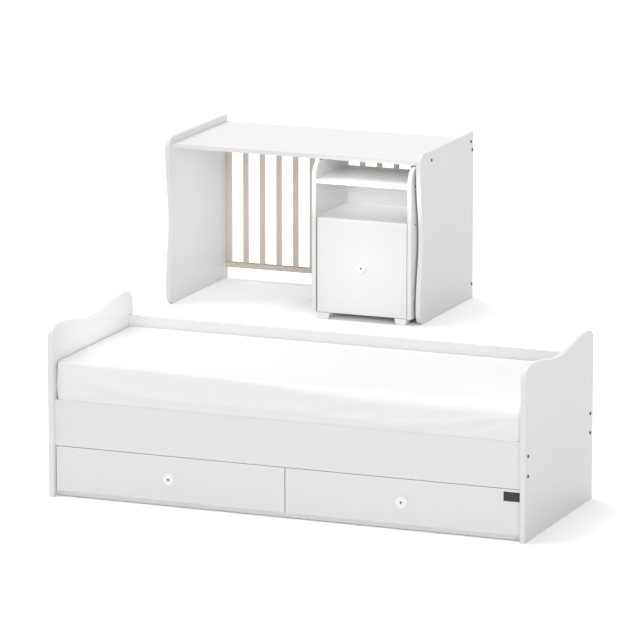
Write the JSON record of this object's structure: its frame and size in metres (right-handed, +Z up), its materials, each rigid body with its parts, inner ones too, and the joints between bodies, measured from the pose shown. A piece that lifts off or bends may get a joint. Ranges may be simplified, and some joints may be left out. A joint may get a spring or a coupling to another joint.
{
  "type": "convertible crib",
  "caption": "Convertible crib in its grown-up form: a junior bed with drawers and a mattress, and a desk with a slatted back and a small drawer cabinet beneath it.",
  "frame": {"origin": "on the floor under the middle of the whole set's bounding box, both units included", "axes": "+Z up, +X to the right along both units' lengths, +Y from the fronts to the backs; the desk stands behind the bed"},
  "size_m": [2.955, 4.098, 0.76],
  "materials": {
    "white_board": "white melamine-faced board, satin",
    "white_hardboard": "white-faced hardboard, matte",
    "pale_bars": "pale lacquered beech, satin",
    "beech_inside": "bare beech, matte",
    "cream_lacquer": "cream-white lacquered beech, satin",
    "knob_lacquer": "white lacquered wood, satin",
    "sheet_cotton": "white cotton sheet over foam",
    "runner_steel": "white powder-coated steel",
    "nylon": "white nylon",
    "dark_screw": "burnished dark steel",
    "zinc_nut": "zinc-plated steel",
    "plug_plastic": "dark moulded plastic",
    "dark_plate": "dark bare plate"
  },
  "bodies": {
    "root": {"bed_left_panel": "white_board", "bed_right_panel": "white_board", "bed_front_board": "white_board", "bed_back_board": "white_board", "bed_bottom_rail": "white_board", "bed_centre_partition": "white_board", "bed_ledgers": "beech_inside", "bed_slats": "beech_inside", "mattress": "sheet_cotton", "bed_drawer_runners": "runner_steel", "desk_left_panel": "white_board", "desk_right_panel": "white_board", "desk_top": "white_board", "desk_slat_top_rail": "pale_bars", "desk_slat_bottom_rail": "pale_bars", "desk_slat_bars": "pale_bars", "desk_hole_plug": "plug_plastic", "panel_bolts": "dark_screw", "panel_barrel_nuts": "zinc_nut", "panel_dowels": "beech_inside"},
    "left_drawer": {"left_drawer_front": "white_board", "left_drawer_left_side": "white_board", "left_drawer_right_side": "white_board", "left_drawer_back": "white_board", "left_drawer_bottom": "white_hardboard", "left_drawer_knob": "knob_lacquer", "left_drawer_knob_screw": "dark_screw", "left_drawer_runners": "runner_steel"},
    "right_drawer": {"right_drawer_front": "white_board", "right_drawer_left_side": "white_board", "right_drawer_right_side": "white_board", "right_drawer_back": "white_board", "right_drawer_bottom": "white_hardboard", "right_drawer_knob": "knob_lacquer", "right_drawer_knob_screw": "dark_screw", "right_drawer_runners": "runner_steel", "right_drawer_plate": "dark_plate"},
    "cabinet": {"cabinet_left_side": "white_board", "cabinet_right_side": "white_board", "cabinet_top": "white_board", "cabinet_niche_floor": "white_board", "cabinet_bottom": "white_board", "cabinet_back": "white_hardboard", "cabinet_feet": "cream_lacquer", "cabinet_screws": "dark_screw", "cabinet_runners": "runner_steel"},
    "cabinet_drawer": {"cabinet_drawer_front": "white_board", "cabinet_drawer_left_side": "white_board", "cabinet_drawer_right_side": "white_board", "cabinet_drawer_back": "white_board", "cabinet_drawer_bottom": "white_hardboard", "cabinet_drawer_knob": "knob_lacquer", "cabinet_drawer_knob_screw": "dark_screw", "cabinet_drawer_runners": "runner_steel"},
    "left_front_rollers": {"left_front_rollers": "nylon"},
    "left_rear_rollers": {"left_rear_rollers": "nylon"},
    "right_front_rollers": {"right_front_rollers": "nylon"},
    "right_rear_rollers": {"right_rear_rollers": "nylon"},
    "cabinet_front_rollers": {"cabinet_front_rollers": "nylon"},
    "cabinet_rear_rollers": {"cabinet_rear_rollers": "nylon"}
  },
  "joints": [
    {"name": "left_drawer_slide", "type": "slide", "parent": "root", "child": "left_drawer", "axis": [0, -1, 0], "range_m": [0, 0.45]},
    {"name": "right_drawer_slide", "type": "slide", "parent": "root", "child": "right_drawer", "axis": [0, -1, 0], "range_m": [0, 0.45]},
    {"name": "cabinet_pull_out", "type": "slide", "parent": "root", "child": "cabinet", "axis": [0, -1, 0], "range_m": [0, 0.4]},
    {"name": "cabinet_drawer_slide", "type": "slide", "parent": "cabinet", "child": "cabinet_drawer", "axis": [0, -1, 0], "range_m": [0, 0.25]},
    {"name": "left_front_rollers_spin", "type": "hinge", "parent": "root", "child": "left_front_rollers", "pos_m": [0.0255, -1.993, 0.0535], "axis": [1, 0, 0], "range_deg": [0, 2350]},
    {"name": "left_rear_rollers_spin", "type": "hinge", "parent": "left_drawer", "child": "left_rear_rollers", "pos_m": [0.0255, -1.435, 0.0535], "axis": [1, 0, 0], "range_deg": [0, 2720]},
    {"name": "right_front_rollers_spin", "type": "hinge", "parent": "root", "child": "right_front_rollers", "pos_m": [0.9845, -1.993, 0.0535], "axis": [1, 0, 0], "range_deg": [0, 2350]},
    {"name": "right_rear_rollers_spin", "type": "hinge", "parent": "right_drawer", "child": "right_rear_rollers", "pos_m": [0.9845, -1.435, 0.0535], "axis": [1, 0, 0], "range_deg": [0, 2720]},
    {"name": "cabinet_front_rollers_spin", "type": "hinge", "parent": "cabinet", "child": "cabinet_front_rollers", "pos_m": [-0.521, 1.392, 0.0715], "axis": [1, 0, 0], "range_deg": [0, 1310]},
    {"name": "cabinet_rear_rollers_spin", "type": "hinge", "parent": "cabinet_drawer", "child": "cabinet_rear_rollers", "pos_m": [-0.521, 1.7, 0.0715], "axis": [1, 0, 0], "range_deg": [0, 1520]}
  ],
  "couplings": [
    {"joint": "left_front_rollers_spin", "follows": "left_drawer_slide", "rad_per_m": 90.909},
    {"joint": "left_rear_rollers_spin", "follows": "left_drawer_slide", "rad_per_m": 105.26},
    {"joint": "right_front_rollers_spin", "follows": "right_drawer_slide", "rad_per_m": 90.909},
    {"joint": "right_rear_rollers_spin", "follows": "right_drawer_slide", "rad_per_m": 105.26},
    {"joint": "cabinet_front_rollers_spin", "follows": "cabinet_drawer_slide", "rad_per_m": 90.909},
    {"joint": "cabinet_rear_rollers_spin", "follows": "cabinet_drawer_slide", "rad_per_m": 105.26}
  ]
}
